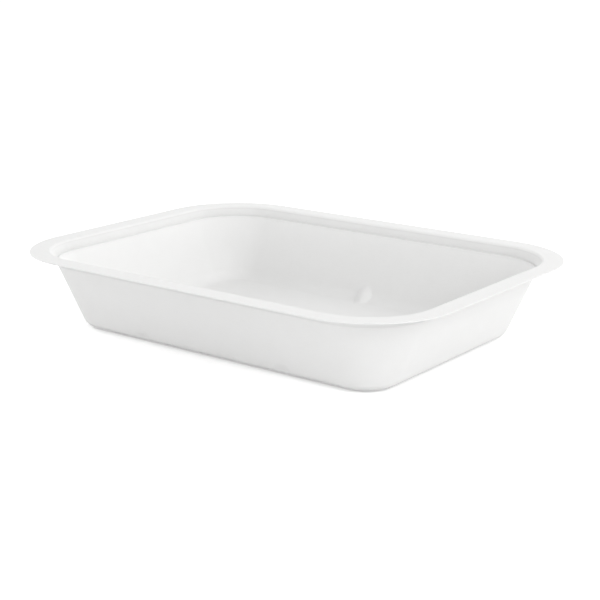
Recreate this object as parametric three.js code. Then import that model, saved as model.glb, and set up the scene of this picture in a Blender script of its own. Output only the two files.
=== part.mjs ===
// Moulded-fibre food tray, in millimetres, +Z up.
// One sheet of pressed fibre: a flat flange, a short collar with a ledge under it, a sloping wall,
// a rounded foot and a flat floor, with denest lugs across the foot of the long walls.
// Origin: centre of the base, on the plane that the tray stands on. X runs along the long side.

import * as THREE from "three";

// Driving dimensions
const LENGTH = 230; // over the flange, along X
const WIDTH = 173.5; // over the flange, along Y
const HEIGHT = 38.1; // from the table to the flange's top
const CORNER_RADIUS = 41.5; // flange outline, seen from above
const SHEET = 0.9; // thickness of the fibre

// Section, on the food side
const FLANGE_WIDTH = 10.1; // edge of the flange to the corner where the collar starts
const COLLAR_DEPTH = 4.7; // flange top down to the ledge
const COLLAR_DRAFT = 20; // degrees off vertical
const LEDGE_WIDTH = 1.2; // collar foot to the top of the wall
const WALL_DRAFT = 23; // degrees off vertical
const RIM_BEND = 0.4; // each bend is given by the radius on its inner side
const LEDGE_BEND = 0.4;
const SHOULDER_BEND = 0.4;
const FOOT_BEND = 8;
const OUTSIDE_FOOT_BEND = 6.2; // radius of the foot on the outside, where the fibre is thicker

// Denest lugs: oval mounds on the foot of the long walls, so that stacked trays come apart
const LUG_WIDTH = 10; // along the wall, from where it starts to rise to where it ends
const LUG_LENGTH = 11.5; // across the foot and up the wall
const LUG_REACH = 2.2; // middle of the foot to the middle of the lug, up the wall
const LUG_HEIGHT = 2.4; // at its middle, off the foot
const FRONT_LUG_SPACING = 82; // between the two lugs of the front wall
const BACK_LUG_X = 0; // place of the single lug of the back wall
const LUG_FULLNESS = 1.2; // power that rounds it off: 1 meets the sheet in a crease, 2 fades out

// Hollow pressed into the outside behind each lug
const HOLLOW_WIDTH = 9; // along the wall
const HOLLOW_LENGTH = 7.8; // up the wall
const HOLLOW_REACH = 4.6; // middle of the foot to the middle of the hollow, up the wall
const HOLLOW_DEPTH = 0.6; // at its middle
const HOLLOW_FULLNESS = 2; // the same power as the lug's

// Fineness of the surface
const CORNER_STEPS = 10; // facets round each corner of the outline
const LUG_STEPS = 10; // facets across each lug
const LUG_RUN_STEPS = 3; // facets up the wall from the foot to the end of the lugs
const BEND_STEPS = 4; // facets round each tight bend
const FOOT_STEPS = 8; // facets round the foot
const TIGHTEST_CORNER = 0.5; // an outline's corner stays round, however far in it lies

const radians = THREE.MathUtils.degToRad;

// The section's food side as corners, from the floor out to the flange's edge.
// inset is the distance in from the flange's edge, and bend is the radius on the food side.
function sectionCorners(footBend) {
  const ledgeZ = HEIGHT - COLLAR_DEPTH;
  const collarFoot = FLANGE_WIDTH + COLLAR_DEPTH * Math.tan(radians(COLLAR_DRAFT));
  const wallTop = collarFoot + LEDGE_WIDTH;
  const wallFoot = wallTop + (ledgeZ - SHEET) * Math.tan(radians(WALL_DRAFT));
  return {
    foot: { inset: wallFoot, z: SHEET, bend: footBend, steps: FOOT_STEPS },
    shoulder: { inset: wallTop, z: ledgeZ, bend: SHOULDER_BEND + SHEET, steps: BEND_STEPS },
    ledge: { inset: collarFoot, z: ledgeZ, bend: LEDGE_BEND, steps: BEND_STEPS },
    rim: { inset: FLANGE_WIDTH, z: HEIGHT, bend: RIM_BEND + SHEET, steps: BEND_STEPS },
    edge: { inset: 0, z: HEIGHT },
  };
}

// Unit direction of the section from one corner to the next.
function direction(from, to) {
  return new THREE.Vector2(to.inset - from.inset, to.z - from.z).normalize();
}

// Points round a bend. Each has its normal on the food side, which is the run turned clockwise
// when the section is walked from the floor outwards.
function bendPoints(before, corner, after) {
  const entering = direction(before, corner);
  const leaving = direction(corner, after);
  const turn = Math.atan2(entering.cross(leaving), entering.dot(leaving));
  const setback = corner.bend * Math.tan(Math.abs(turn) / 2);
  const side = Math.sign(turn);
  const start = new THREE.Vector2(corner.inset, corner.z).addScaledVector(entering, -setback);
  const centre = new THREE.Vector2(-entering.y, entering.x).multiplyScalar(side * corner.bend).add(start);
  const points = [];
  for (let i = 0; i <= corner.steps; i++) {
    const angle = (turn * i) / corner.steps;
    const place = start.clone().rotateAround(centre, angle);
    const run = entering.clone().rotateAround(new THREE.Vector2(), angle);
    points.push({ inset: place.x, z: place.y, normal: new THREE.Vector2(run.y, -run.x) });
  }
  return points;
}

// Points along a straight run of the section, past a point that is already there.
function runPoints(point, run, length) {
  const points = [];
  for (let i = 1; i <= LUG_RUN_STEPS; i++) {
    const step = (length * i) / LUG_RUN_STEPS;
    points.push({ inset: point.inset + run.x * step, z: point.z + run.y * step, normal: point.normal });
  }
  return points;
}

// The section's food side with a foot of one radius, from the floor out to the flange's edge. Each
// point has its reach, the distance from the middle of the foot: less than zero on the floor.
function section(footBend) {
  const at = sectionCorners(footBend);
  const floor = { inset: WIDTH / 2, z: SHEET };
  const foot = bendPoints(floor, at.foot, at.shoulder);
  const halfFoot = (footBend * radians(90 - WALL_DRAFT)) / 2;
  const wallRun = direction(at.foot, at.shoulder);
  const lugTop = Math.max(LUG_REACH + LUG_LENGTH / 2, HOLLOW_REACH + HOLLOW_LENGTH / 2);
  const points = [
    ...foot,
    ...runPoints(foot[FOOT_STEPS], wallRun, lugTop - halfFoot),
    ...bendPoints(at.foot, at.shoulder, at.ledge),
    ...bendPoints(at.shoulder, at.ledge, at.rim),
    ...bendPoints(at.ledge, at.rim, at.edge),
    { ...at.edge, normal: new THREE.Vector2(0, 1) },
  ];
  let reach = -halfFoot;
  points.forEach((point, i) => {
    const last = points[Math.max(i - 1, 0)];
    reach += Math.hypot(point.inset - last.inset, point.z - last.z);
    point.reach = reach;
  });
  return points;
}

// Places round the outline where the section is drawn, counter-clockwise from above: on arcs at the
// corners, and across each lug on the long sides. The rest of each side is straight.
function stations() {
  const places = [];
  const corner = (signX, signY, startAngle) => {
    for (let i = 0; i <= CORNER_STEPS; i++) {
      places.push({ signX, signY, angle: radians(startAngle + (90 * i) / CORNER_STEPS) });
    }
  };
  const lug = (signY, x) => {
    for (let i = 0; i <= LUG_STEPS; i++) {
      const offCentre = -signY * LUG_WIDTH * (i / LUG_STEPS - 0.5);
      places.push({ signY, x: x + offCentre, offCentre });
    }
  };
  corner(1, 1, 0);
  lug(1, BACK_LUG_X);
  corner(-1, 1, 90);
  corner(-1, -1, 180);
  lug(-1, -FRONT_LUG_SPACING / 2);
  lug(-1, FRONT_LUG_SPACING / 2);
  corner(1, -1, 270);
  return places;
}

// Height of a smooth mound on an oval, as a share of its middle's, at a share of the way from its
// middle to its edge both ways.
function mound(fullness, acrossShare, alongShare) {
  return Math.max(1 - acrossShare ** 2 - alongShare ** 2, 0) ** fullness;
}

// How far a lug lifts the food side at one point.
function lugRise(station, point) {
  if (station.offCentre === undefined) return 0;
  const alongShare = (point.reach - LUG_REACH) / (LUG_LENGTH / 2);
  return LUG_HEIGHT * mound(LUG_FULLNESS, station.offCentre / (LUG_WIDTH / 2), alongShare);
}

// How far the hollow behind a lug presses the outside in at one point.
function hollowRise(station, point) {
  if (station.offCentre === undefined) return 0;
  const alongShare = (point.reach - HOLLOW_REACH) / (HOLLOW_LENGTH / 2);
  return HOLLOW_DEPTH * mound(HOLLOW_FULLNESS, station.offCentre / (HOLLOW_WIDTH / 2), alongShare);
}

// A point of the section at one place round the outline, moved by shift along its normal.
function traySurface(station, point, shift) {
  const inset = point.inset + point.normal.x * shift;
  const z = point.z + point.normal.y * shift;
  if (station.angle === undefined) {
    return new THREE.Vector3(station.x, station.signY * (WIDTH / 2 - inset), z);
  }
  const radius = Math.max(CORNER_RADIUS - inset, TIGHTEST_CORNER);
  return new THREE.Vector3(
    station.signX * (LENGTH / 2 - inset - radius) + radius * Math.cos(station.angle),
    station.signY * (WIDTH / 2 - inset - radius) + radius * Math.sin(station.angle),
    z,
  );
}

// The whole sheet: rings from the middle of the floor out over the food side, round the flange's
// edge and back under to the middle of the base. The outside lies one sheet off a section whose
// foot has the radius that gives the outside its own.
function trayGeometry() {
  const places = stations();
  const foodSide = section(FOOT_BEND).map((point) =>
    places.map((station) => traySurface(station, point, lugRise(station, point))),
  );
  const outside = section(OUTSIDE_FOOT_BEND - SHEET).map((point) =>
    places.map((station) => traySurface(station, point, hollowRise(station, point) - SHEET)),
  );
  const rings = [...foodSide, ...outside.reverse()];
  const vertices = [new THREE.Vector3(0, 0, SHEET), ...rings.flat(), new THREE.Vector3(0, 0, 0)];
  const last = vertices.length - 1;
  const vertex = (ring, place) => 1 + ring * places.length + (place % places.length);
  const faces = [];
  for (let i = 0; i < places.length; i++) {
    faces.push(0, vertex(0, i), vertex(0, i + 1));
    for (let ring = 0; ring < rings.length - 1; ring++) {
      faces.push(vertex(ring, i), vertex(ring + 1, i), vertex(ring + 1, i + 1));
      faces.push(vertex(ring, i), vertex(ring + 1, i + 1), vertex(ring, i + 1));
    }
    faces.push(vertex(rings.length - 1, i), last, vertex(rings.length - 1, i + 1));
  }
  const geometry = new THREE.BufferGeometry().setFromPoints(vertices).setIndex(faces);
  geometry.computeVertexNormals();
  return geometry;
}

const fibre = new THREE.MeshStandardMaterial({ color: 0xf1f0ec, roughness: 0.92, metalness: 0 });

const tray = new THREE.Mesh(trayGeometry(), fibre);
tray.name = "tray";

const foodTray = new THREE.Group();
foodTray.add(tray);

export default foodTray;
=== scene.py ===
"""A moulded-fibre food tray on a pale studio floor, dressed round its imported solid."""

import math
from collections import namedtuple

import bpy
import numpy as np
from mathutils import Matrix, Vector


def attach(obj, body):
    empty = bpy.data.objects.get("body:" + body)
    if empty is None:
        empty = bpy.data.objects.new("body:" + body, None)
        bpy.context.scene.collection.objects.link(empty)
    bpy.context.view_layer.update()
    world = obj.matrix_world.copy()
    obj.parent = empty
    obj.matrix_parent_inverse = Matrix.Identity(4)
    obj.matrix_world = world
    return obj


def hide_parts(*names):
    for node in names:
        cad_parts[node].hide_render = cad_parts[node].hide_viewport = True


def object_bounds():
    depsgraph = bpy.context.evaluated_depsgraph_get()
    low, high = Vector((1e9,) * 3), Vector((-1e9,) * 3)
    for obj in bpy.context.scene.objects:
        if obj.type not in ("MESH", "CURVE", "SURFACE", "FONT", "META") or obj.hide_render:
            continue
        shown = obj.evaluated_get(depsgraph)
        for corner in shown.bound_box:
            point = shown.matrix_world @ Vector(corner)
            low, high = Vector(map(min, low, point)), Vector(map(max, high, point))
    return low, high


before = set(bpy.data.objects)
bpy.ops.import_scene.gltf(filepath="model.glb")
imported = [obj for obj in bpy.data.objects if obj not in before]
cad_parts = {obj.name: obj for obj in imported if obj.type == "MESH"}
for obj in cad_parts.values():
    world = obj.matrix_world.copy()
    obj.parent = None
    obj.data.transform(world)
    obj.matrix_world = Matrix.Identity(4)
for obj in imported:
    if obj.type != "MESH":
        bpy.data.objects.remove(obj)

cad_box = [list(corner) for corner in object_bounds()]

MM = 0.001

# The solid's own sizes, in millimetres, with drafts in degrees off vertical
LENGTH, WIDTH, HEIGHT = [(high - low) / MM for low, high in zip(*cad_box)]
CORNER_RADIUS = 41.5
SHEET = 0.9
FLANGE_WIDTH = 10.1
COLLAR_DEPTH = 4.7
COLLAR_DRAFT = 20
LEDGE_WIDTH = 1.2
WALL_DRAFT = 23
RIM_BEND = 0.4
LEDGE_BEND = 0.4
SHOULDER_BEND = 0.4
FOOT_BEND = 8
OUTSIDE_FOOT_BEND = 6.2
FRONT_LUG_SPACING = 82
BACK_LUG_X = 0

# The lugs and the hollows behind them, fitted more closely to the photograph than the solid's.
# A reach is the distance up the wall from the middle of the foot.
LUG_WIDTH = 9.4
LUG_LENGTH = 14
LUG_REACH = 1
LUG_HEIGHT = 2.6
LUG_FULLNESS = 1.6
LUG_TAPER = 0.15  # a lug is narrower towards the floor, and wider up the wall
LUG_SPAN = LUG_WIDTH * (1 + LUG_TAPER)
HOLLOW_WIDTH = 9
HOLLOW_LENGTH = 7
HOLLOW_REACH = 2.6
HOLLOW_DEPTH = 0.75
HOLLOW_FULLNESS = 2

# What the pressing and the cutting leave on the surface, in millimetres
EDGE_SHEET = 0.55  # the flange is pinched thinner where it is cut
EDGE_TAPER = 2.5
EDGE_ROUND = 0.22
LEDGE_CREASE = (0.3, 0.7)  # depth and half width of the line along the foot of the collar
RIM_CREASE = (0.12, 0.6)  # and along its top

# Fineness of the mesh: facets, then millimetres
CORNER_STEPS = 40
SIDE_STEPS = 16
LUG_STEPS = 40
BEND_STEPS = 8
FOOT_STEPS = 20
RUN_STEP = 1.2
FLOOR_RING = 2  # floor meshed inside the foot

# Camera, from the photograph's outlines: millimetres and degrees
CAMERA_PLACE = (387.9, -510.34, 189.05)
CAMERA_AZIMUTH = 36.96
CAMERA_ELEVATION = 15.24
CAMERA_ROLL = 0.21
CAMERA_LENS = 82.38
CAMERA_SENSOR = 36
CAMERA_CLIP = 0.01  # metres

# Pulp: two whites, with soft clouds and a fine grain, sizes in millimetres
WHITE = (0.817, 0.817, 0.813, 1)
SHADE = (0.794, 0.793, 0.787, 1)
CLOUD_SIZE = 9
CLOUD_DETAIL = 2
CLOUD_TONE = 0.7  # how far a cloud goes from WHITE to SHADE
GRAIN_SIZE = 0.35
GRAIN_DETAIL = 3
GRAIN_RELIEF = 0.6  # as a share of the fibres'
SPECULAR = 0.2

# Fibres about 2.5 mm long and a third of a millimetre thick
FIBRE_SCALE = (380, 2900, 2900)  # per metre, along and across a fibre
FIBRE_CURL = 0.35
FIBRE_EDGE = 0.56  # noise values at a fibre's edge and at its core
FIBRE_CORE = 0.72
FIBRE_TURNS = ((0.2, 0.3), (1.0, -0.4), (1.9, 0.5), (2.7, -0.2))  # direction and tilt, radians
FIBRE_TONE = 0.35
FIBRE_RELIEF = 0.02  # millimetres
PULP_ROUGHNESS = 0.94
FIBRE_ROUGHNESS = 0.82

# Painted shade along the folds, where the creases fall into shade: height, half width and how much
# darker, each fold
PAINTED_FOLD_SHADE = ((33.1, 1.4, 0.035), (37.2, 0.8, 0.04))
PAINTED_COLLAR_SHADE = 0.06  # and painted shade on the collar between them, darker for the way the light falls on it

# Studio: the sky's strength by the sine of the elevation, and the floor, in metres
SKY = ((0, 1.97), (0.17, 0.65), (0.5, 1.10), (1, 0.43))
SKY_PEAK = 4
FLOOR_HALF = 3
FLOOR_Z = -0.0004
FLOOR_ALBEDO = 0.9
FLOOR_LIFT = 0.36  # makes the open floor white to the viewer, and keeps the shadow

# Disk lights: name, place and diameter in metres, power in watts
LIGHTS = (
    ("key_mid", (1.5, -0.1, 0.9), 0.8, 7.4),
    ("back", (0.2, 1.8, 0.7), 1.2, 5.6),
    ("back_high", (0.3, 1.0, 1.5), 0.9, 3.7),
    ("front_low", (-0.2, -1.8, 0.1), 0.8, 4.7),
    ("key_rear", (1.3, 1.3, 0.28), 0.8, 1.8),
    ("left", (-1.8, 0.2, 0.6), 1.0, 5.1),
)
AIM = (0, 0, 0.02)

# One place round the outline where the section is drawn. kind is corner, long or short, for the
# sides. place is an angle at a corner, or a distance along a side. off_centre is the distance
# from the middle of a lug, or None where there is no lug.
Station = namedtuple("Station", "kind sign_x sign_y place off_centre")


def unit(vector):
    return vector / np.linalg.norm(vector)


def turned(vector, angle):
    c, s = math.cos(angle), math.sin(angle)
    return np.array([c * vector[0] - s * vector[1], s * vector[0] + c * vector[1]])


def bend_points(before, corner, after, radius, steps):
    """Points and food-side normals round a bend of the section."""
    entering, leaving = unit(corner - before), unit(after - corner)
    turn = math.atan2(entering[0] * leaving[1] - entering[1] * leaving[0], entering @ leaving)
    start = corner - entering * radius * math.tan(abs(turn) / 2)
    centre = start + math.copysign(radius, turn) * turned(entering, math.pi / 2)
    points = []
    for i in range(steps + 1):
        angle = turn * i / steps
        run = turned(entering, angle)
        points.append((centre + turned(start - centre, angle), np.array([run[1], -run[0]])))
    return points


def run_between(a, b):
    """Points inside a straight run between two points that share a normal, closer near its ends."""
    steps = max(2, math.ceil(np.linalg.norm(b[0] - a[0]) / RUN_STEP))
    shares = [(1 - math.cos(math.pi * i / steps)) / 2 for i in range(1, steps)]
    return [(a[0] + (b[0] - a[0]) * share, a[1]) for share in shares]


def section(foot_bend):
    """The food side, from the floor out to the flange's edge.

    Gives each point's inset and height, its normal, its reach and its depth of crease.
    """
    ledge_z = HEIGHT - COLLAR_DEPTH
    collar_foot = FLANGE_WIDTH + COLLAR_DEPTH * math.tan(math.radians(COLLAR_DRAFT))
    wall_top = collar_foot + LEDGE_WIDTH
    wall_foot = wall_top + (ledge_z - SHEET) * math.tan(math.radians(WALL_DRAFT))
    half_foot = foot_bend * math.radians(90 - WALL_DRAFT) / 2
    floor = np.array([WIDTH / 2, SHEET])
    foot = np.array([wall_foot, SHEET])
    shoulder = np.array([wall_top, ledge_z])
    ledge = np.array([collar_foot, ledge_z])
    rim = np.array([FLANGE_WIDTH, HEIGHT])
    edge = np.array([0, HEIGHT])
    up = np.array([0, 1])
    bends = [
        bend_points(floor, foot, shoulder, foot_bend, FOOT_STEPS),
        bend_points(foot, shoulder, ledge, SHOULDER_BEND + SHEET, BEND_STEPS),
        bend_points(shoulder, ledge, rim, LEDGE_BEND, BEND_STEPS),
        bend_points(ledge, rim, edge, RIM_BEND + SHEET, BEND_STEPS),
    ]
    first = bends[0][0][0] + np.array([FLOOR_RING, 0])
    last = (np.array([EDGE_ROUND, HEIGHT]), up)
    points = [(first, up)]
    middles = []
    for bend in bends:
        points += run_between(points[-1], bend[0]) + bend
        middles.append(len(points) - 1 - len(bend) // 2)
    points += run_between(points[-1], last) + [last]
    places = np.array([place for place, _ in points])
    normals = np.array([normal for _, normal in points])
    steps = np.linalg.norm(np.diff(places, axis=0), axis=1)
    reach = np.concatenate([[0], np.cumsum(steps)]) - half_foot - FLOOR_RING
    crease = np.zeros_like(reach)
    for middle, (depth, half_width) in zip(middles[2:], (LEDGE_CREASE, RIM_CREASE)):
        crease += depth * np.exp(-(((reach - reach[middle]) / half_width) ** 2))
    return places, normals, reach, crease


def stations():
    """Places round the outline, counter-clockwise from above."""
    made = []
    straight_x = LENGTH / 2 - CORNER_RADIUS
    straight_y = WIDTH / 2 - CORNER_RADIUS

    def corner(sign_x, sign_y, start):
        for i in range(CORNER_STEPS + 1):
            angle = math.radians(start + 90 * i / CORNER_STEPS)
            made.append(Station("corner", sign_x, sign_y, angle, None))

    def long_side(sign_y, lugs):
        stops = {straight_x * (2 * i / SIDE_STEPS - 1): None for i in range(1, SIDE_STEPS)}
        for middle in lugs:
            stops = {x: off for x, off in stops.items() if abs(x - middle) > LUG_SPAN / 2}
            for i in range(LUG_STEPS + 1):
                off_centre = LUG_SPAN * (i / LUG_STEPS - 0.5)
                stops[middle + off_centre] = off_centre
        for x in sorted(stops, key=lambda x: -sign_y * x):
            made.append(Station("long", 0, sign_y, x, stops[x]))

    def short_side(sign_x):
        for i in range(1, SIDE_STEPS):
            y = sign_x * straight_y * (2 * i / SIDE_STEPS - 1)
            made.append(Station("short", sign_x, 0, y, None))

    short_side(1)
    corner(1, 1, 0)
    long_side(1, [BACK_LUG_X])
    corner(-1, 1, 90)
    short_side(-1)
    corner(-1, -1, 180)
    long_side(-1, [-FRONT_LUG_SPACING / 2, FRONT_LUG_SPACING / 2])
    corner(1, -1, 270)
    return made


def mound(fullness, across_share, along_share):
    """Share of its height that a mound on an oval has, at a share of the way out from its middle."""
    return np.clip(1 - across_share**2 - along_share**2, 0, None) ** fullness


def lug_rise(off_centre, reach):
    """How far a lug lifts the food side."""
    if off_centre is None:
        return np.zeros_like(reach)
    along_share = (reach - LUG_REACH) / (LUG_LENGTH / 2)
    half_width = LUG_WIDTH / 2 * (1 + LUG_TAPER * np.clip(along_share, -1, 1))
    return LUG_HEIGHT * mound(LUG_FULLNESS, off_centre / half_width, along_share)


def hollow_rise(off_centre, reach):
    """How far the hollow behind a lug presses the outside in."""
    if off_centre is None:
        return np.zeros_like(reach)
    along_share = (reach - HOLLOW_REACH) / (HOLLOW_LENGTH / 2)
    return HOLLOW_DEPTH * mound(HOLLOW_FULLNESS, off_centre / (HOLLOW_WIDTH / 2), along_share)


def station_points(station, inset, z):
    """The section's points stood at one place round the outline."""
    if station.kind == "long":
        x = np.full_like(z, station.place)
        y = station.sign_y * (WIDTH / 2 - inset)
    elif station.kind == "short":
        x = station.sign_x * (LENGTH / 2 - inset)
        y = np.full_like(z, station.place)
    else:
        radius = CORNER_RADIUS - inset
        x = station.sign_x * (LENGTH / 2 - CORNER_RADIUS) + radius * math.cos(station.place)
        y = station.sign_y * (WIDTH / 2 - CORNER_RADIUS) + radius * math.sin(station.place)
    return np.stack([x, y, z], axis=1)


def edge_points():
    """The cut edge of the flange, from its top round to its underside."""
    points = []
    for middle_z, start in ((HEIGHT - EDGE_ROUND, 90), (HEIGHT - EDGE_SHEET + EDGE_ROUND, 0)):
        for i in range(1, BEND_STEPS):
            angle = math.radians(start - 90 * i / BEND_STEPS)
            inset = EDGE_ROUND - EDGE_ROUND * math.cos(angle)
            points.append((inset, middle_z + EDGE_ROUND * math.sin(angle)))
    return np.array(points)


def sheet_grid():
    """Points of both sides of the sheet, a column for each station, in metres."""
    places, normals, reach, crease = section(FOOT_BEND)
    under_places, under_normals, under_reach, _ = section(OUTSIDE_FOOT_BEND - SHEET)
    edge_share = np.clip((EDGE_TAPER - under_places[:, 0]) / (EDGE_TAPER - EDGE_ROUND), 0, 1)
    pinch = (SHEET - EDGE_SHEET) * edge_share**2
    edge = edge_points()
    columns = []
    for station in stations():
        lifted = lug_rise(station.off_centre, reach) - crease
        pressed = hollow_rise(station.off_centre, under_reach) + pinch - SHEET
        food = places + normals * lifted[:, None]
        under = (under_places + under_normals * pressed[:, None])[::-1]
        loop = np.concatenate([food, edge, under])
        columns.append(station_points(station, loop[:, 0], loop[:, 1]))
    return np.array(columns) * MM


def tray_mesh():
    """The whole sheet as one closed mesh."""
    grid = sheet_grid()
    around, down = grid.shape[:2]
    vertices = [*grid.reshape(-1, 3), (0, 0, SHEET * MM), (0, 0, 0)]
    top, bottom = around * down, around * down + 1
    faces = []
    for i in range(around):
        j = (i + 1) % around
        faces.append((top, i * down, j * down))
        for k in range(down - 1):
            faces.append((i * down + k, i * down + k + 1, j * down + k + 1, j * down + k))
        faces.append((i * down + down - 1, bottom, j * down + down - 1))
    mesh = bpy.data.meshes.new("tray_sheet")
    mesh.from_pydata([tuple(vertex) for vertex in vertices], [], faces)
    mesh.validate()
    mesh.shade_smooth()
    return mesh


def make_camera():
    azimuth, elevation, roll = map(math.radians, (CAMERA_AZIMUTH, CAMERA_ELEVATION, CAMERA_ROLL))
    back = Vector((
        math.sin(azimuth) * math.cos(elevation),
        -math.cos(azimuth) * math.cos(elevation),
        math.sin(elevation),
    ))
    right = Vector((math.cos(azimuth), math.sin(azimuth), 0))
    up = back.cross(right)
    rolled_right = right * math.cos(roll) + up * math.sin(roll)
    rolled_up = up * math.cos(roll) - right * math.sin(roll)
    data = bpy.data.cameras.new("camera")
    data.lens = CAMERA_LENS
    data.sensor_width = CAMERA_SENSOR
    data.clip_start = CAMERA_CLIP
    camera = bpy.data.objects.new("camera", data)
    turn = Matrix((rolled_right, rolled_up, back)).transposed().to_4x4()
    camera.matrix_world = Matrix.Translation(Vector(CAMERA_PLACE) * MM) @ turn
    bpy.context.collection.objects.link(camera)
    bpy.context.scene.camera = camera


def node(tree, kind, **settings):
    made = tree.nodes.new(kind)
    for name, value in settings.items():
        setattr(made, name, value)
    return made


def maths(tree, operation, first, second):
    """A math node's output. Each operand is a number or another node's output."""
    made = node(tree, "ShaderNodeMath", operation=operation)
    for socket, value in zip(made.inputs, (first, second)):
        if isinstance(value, (int, float)):
            socket.default_value = value
        else:
            tree.links.new(value, socket)
    return made.outputs[0]


def noise(tree, place, size, detail):
    """Plain noise whose features are about that many millimetres across."""
    made = node(tree, "ShaderNodeTexNoise")
    made.inputs["Scale"].default_value = 1 / (size * MM)
    made.inputs["Detail"].default_value = detail
    tree.links.new(place, made.inputs["Vector"])
    return made.outputs[0]


def strands(tree, place, angle, tilt):
    """A field of short fibres that all lie one way: 1 on a fibre and 0 between them."""
    turn = node(tree, "ShaderNodeMapping")
    turn.inputs["Rotation"].default_value = (tilt, tilt / 2, angle)
    turn.inputs["Scale"].default_value = FIBRE_SCALE
    cells = node(tree, "ShaderNodeTexNoise")
    cells.inputs["Scale"].default_value = 1
    cells.inputs["Detail"].default_value = 1
    cells.inputs["Distortion"].default_value = FIBRE_CURL
    sort = node(tree, "ShaderNodeMapRange", interpolation_type="SMOOTHSTEP")
    sort.inputs["From Min"].default_value = FIBRE_EDGE
    sort.inputs["From Max"].default_value = FIBRE_CORE
    tree.links.new(place, turn.inputs["Vector"])
    tree.links.new(turn.outputs[0], cells.inputs["Vector"])
    tree.links.new(cells.outputs[0], sort.inputs["Value"])
    return sort.outputs[0]


def painted_shade_at_folds(tree, place):
    """How much darker the colour is painted along the folds and on the collar between them, by
    height: painted shade for the shade that falls in the creases.
    """
    axes = node(tree, "ShaderNodeSeparateXYZ")
    tree.links.new(place, axes.inputs[0])
    z = axes.outputs["Z"]
    low, high = (height * MM for height, _, _ in PAINTED_FOLD_SHADE)
    inside = maths(
        tree, "MULTIPLY", maths(tree, "GREATER_THAN", z, low), maths(tree, "LESS_THAN", z, high)
    )
    # painted shade over the collar's band of heights, between the two folds
    total = maths(tree, "MULTIPLY", inside, PAINTED_COLLAR_SHADE)
    # painted shade along each fold line, fading out over its half width
    for height, half_width, darkening in PAINTED_FOLD_SHADE:
        off = maths(tree, "ABSOLUTE", maths(tree, "SUBTRACT", z, height * MM), 0)
        fade = node(tree, "ShaderNodeMapRange", interpolation_type="SMOOTHSTEP")
        fade.inputs["From Max"].default_value = half_width * MM
        fade.inputs["To Min"].default_value = darkening
        fade.inputs["To Max"].default_value = 0
        tree.links.new(off, fade.inputs["Value"])
        total = maths(tree, "ADD", total, fade.outputs[0])
    return total


def fibre_colour(tree, place, fibres):
    """White pulp with faint clouds and fibres, and painted shade along the folds."""
    clouds = noise(tree, place, CLOUD_SIZE, CLOUD_DETAIL)
    cloud_tone = maths(tree, "MULTIPLY", clouds, CLOUD_TONE)
    tone = maths(tree, "ADD", cloud_tone, maths(tree, "MULTIPLY", fibres, FIBRE_TONE))
    colour = node(tree, "ShaderNodeMix", data_type="RGBA")
    colour.inputs["A"].default_value = WHITE
    colour.inputs["B"].default_value = SHADE
    tree.links.new(tone, colour.inputs["Factor"])
    # the pulp colour darkened by the painted shade along the folds and collar
    pressed = node(tree, "ShaderNodeVectorMath", operation="SCALE")
    tree.links.new(colour.outputs["Result"], pressed.inputs[0])
    tree.links.new(maths(tree, "SUBTRACT", 1, painted_shade_at_folds(tree, place)), pressed.inputs["Scale"])
    return pressed.outputs[0]


def fibre_material():
    """Matt white pressed fibre, with short fibres that stand a hair proud."""
    material = bpy.data.materials.new("fibre")
    material.use_nodes = True
    tree = material.node_tree
    shader = tree.nodes["Principled BSDF"]
    shader.inputs["Specular IOR Level"].default_value = SPECULAR
    place = node(tree, "ShaderNodeTexCoord").outputs["Object"]
    fibres = strands(tree, place, *FIBRE_TURNS[0])
    for angle, tilt in FIBRE_TURNS[1:]:
        fibres = maths(tree, "MAXIMUM", fibres, strands(tree, place, angle, tilt))
    tree.links.new(fibre_colour(tree, place, fibres), shader.inputs["Base Color"])

    rough = node(tree, "ShaderNodeMapRange")
    rough.inputs["To Min"].default_value = PULP_ROUGHNESS
    rough.inputs["To Max"].default_value = FIBRE_ROUGHNESS
    tree.links.new(fibres, rough.inputs["Value"])
    tree.links.new(rough.outputs[0], shader.inputs["Roughness"])

    grain = noise(tree, place, GRAIN_SIZE, GRAIN_DETAIL)
    relief = maths(tree, "ADD", fibres, maths(tree, "MULTIPLY", grain, GRAIN_RELIEF))
    bump = node(tree, "ShaderNodeBump")
    bump.inputs["Distance"].default_value = FIBRE_RELIEF * MM
    tree.links.new(relief, bump.inputs["Height"])
    tree.links.new(bump.outputs[0], shader.inputs["Normal"])
    return material


def camera_or_gloss(tree):
    """One for rays that the viewer sees straight, in a gloss or through glass."""
    path = node(tree, "ShaderNodeLightPath").outputs
    seen = maths(tree, "MAXIMUM", path["Is Camera Ray"], path["Is Glossy Ray"])
    return maths(tree, "MAXIMUM", seen, path["Is Transmission Ray"])


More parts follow.
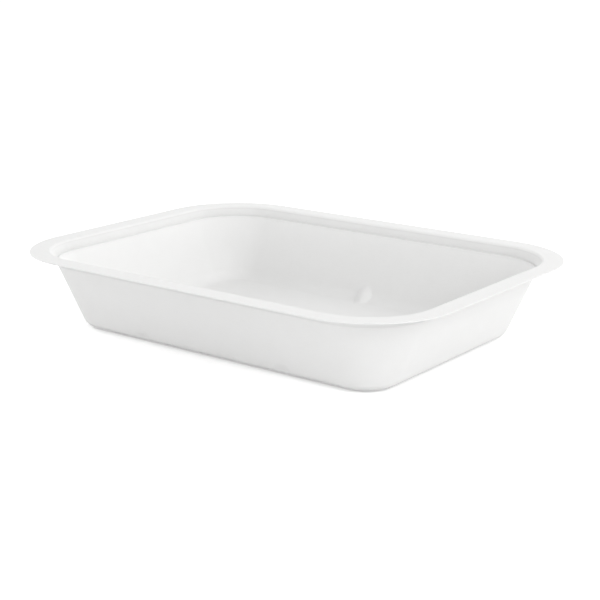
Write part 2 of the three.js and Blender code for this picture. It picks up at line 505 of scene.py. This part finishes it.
def make_world():
    """A soft dome that lights the tray, and plain white where the viewer sees past the floor."""
    world = bpy.data.worlds.new("studio")
    world.use_nodes = True
    tree = world.node_tree
    tree.nodes.clear()
    dome = node(tree, "ShaderNodeBackground")
    dome.inputs["Strength"].default_value = SKY_PEAK
    place = node(tree, "ShaderNodeTexCoord")
    axes = node(tree, "ShaderNodeSeparateXYZ")
    ramp = node(tree, "ShaderNodeValToRGB")
    stops = ramp.color_ramp.elements
    while len(stops) < len(SKY):
        stops.new(0.5)
    for stop, (sine, strength) in zip(stops, SKY):
        stop.position = sine
        stop.color = (strength / SKY_PEAK,) * 3 + (1,)
    tree.links.new(place.outputs["Generated"], axes.inputs[0])
    tree.links.new(axes.outputs["Z"], ramp.inputs[0])
    tree.links.new(ramp.outputs["Color"], dome.inputs["Color"])
    seen = node(tree, "ShaderNodeBackground")
    seen.inputs["Color"].default_value = (1, 1, 1, 1)
    mix = node(tree, "ShaderNodeMixShader")
    out = node(tree, "ShaderNodeOutputWorld")
    tree.links.new(camera_or_gloss(tree), mix.inputs[0])
    tree.links.new(dome.outputs[0], mix.inputs[1])
    tree.links.new(seen.outputs[0], mix.inputs[2])
    tree.links.new(mix.outputs[0], out.inputs[0])
    bpy.context.scene.world = world


def make_floor():
    mesh = bpy.data.meshes.new("floor")
    corners = [(-1, -1), (1, -1), (1, 1), (-1, 1)]
    mesh.from_pydata([(x * FLOOR_HALF, y * FLOOR_HALF, 0) for x, y in corners], [], [(0, 1, 2, 3)])
    floor = bpy.data.objects.new("floor", mesh)
    floor.location.z = FLOOR_Z
    bpy.context.collection.objects.link(floor)
    material = bpy.data.materials.new("floor")
    material.use_nodes = True
    tree = material.node_tree
    tree.nodes.clear()
    diffuse = node(tree, "ShaderNodeBsdfDiffuse")
    diffuse.inputs["Color"].default_value = (FLOOR_ALBEDO, FLOOR_ALBEDO, FLOOR_ALBEDO, 1)
    glow = node(tree, "ShaderNodeEmission")
    strength = maths(tree, "MULTIPLY", camera_or_gloss(tree), FLOOR_LIFT)
    tree.links.new(strength, glow.inputs["Strength"])
    add = node(tree, "ShaderNodeAddShader")
    out = node(tree, "ShaderNodeOutputMaterial")
    tree.links.new(diffuse.outputs[0], add.inputs[0])
    tree.links.new(glow.outputs[0], add.inputs[1])
    tree.links.new(add.outputs[0], out.inputs[0])
    mesh.materials.append(material)


def make_light(name, place, diameter, power):
    data = bpy.data.lights.new(name, "AREA")
    data.shape = "DISK"
    data.size = diameter
    data.energy = power
    light = bpy.data.objects.new(name, data)
    light.location = place
    light.visible_camera = False
    light.rotation_mode = "QUATERNION"
    light.rotation_quaternion = (Vector(AIM) - Vector(place)).to_track_quat("-Z", "Y")
    bpy.context.collection.objects.link(light)


make_camera()
tray = bpy.data.objects.new("fibre_tray", tray_mesh())
tray.data.materials.append(fibre_material())
bpy.context.collection.objects.link(tray)
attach(tray, "root")
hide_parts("tray")
make_world()
make_floor()
for light in LIGHTS:
    make_light(*light)
bpy.context.scene.view_settings.view_transform = "Standard"
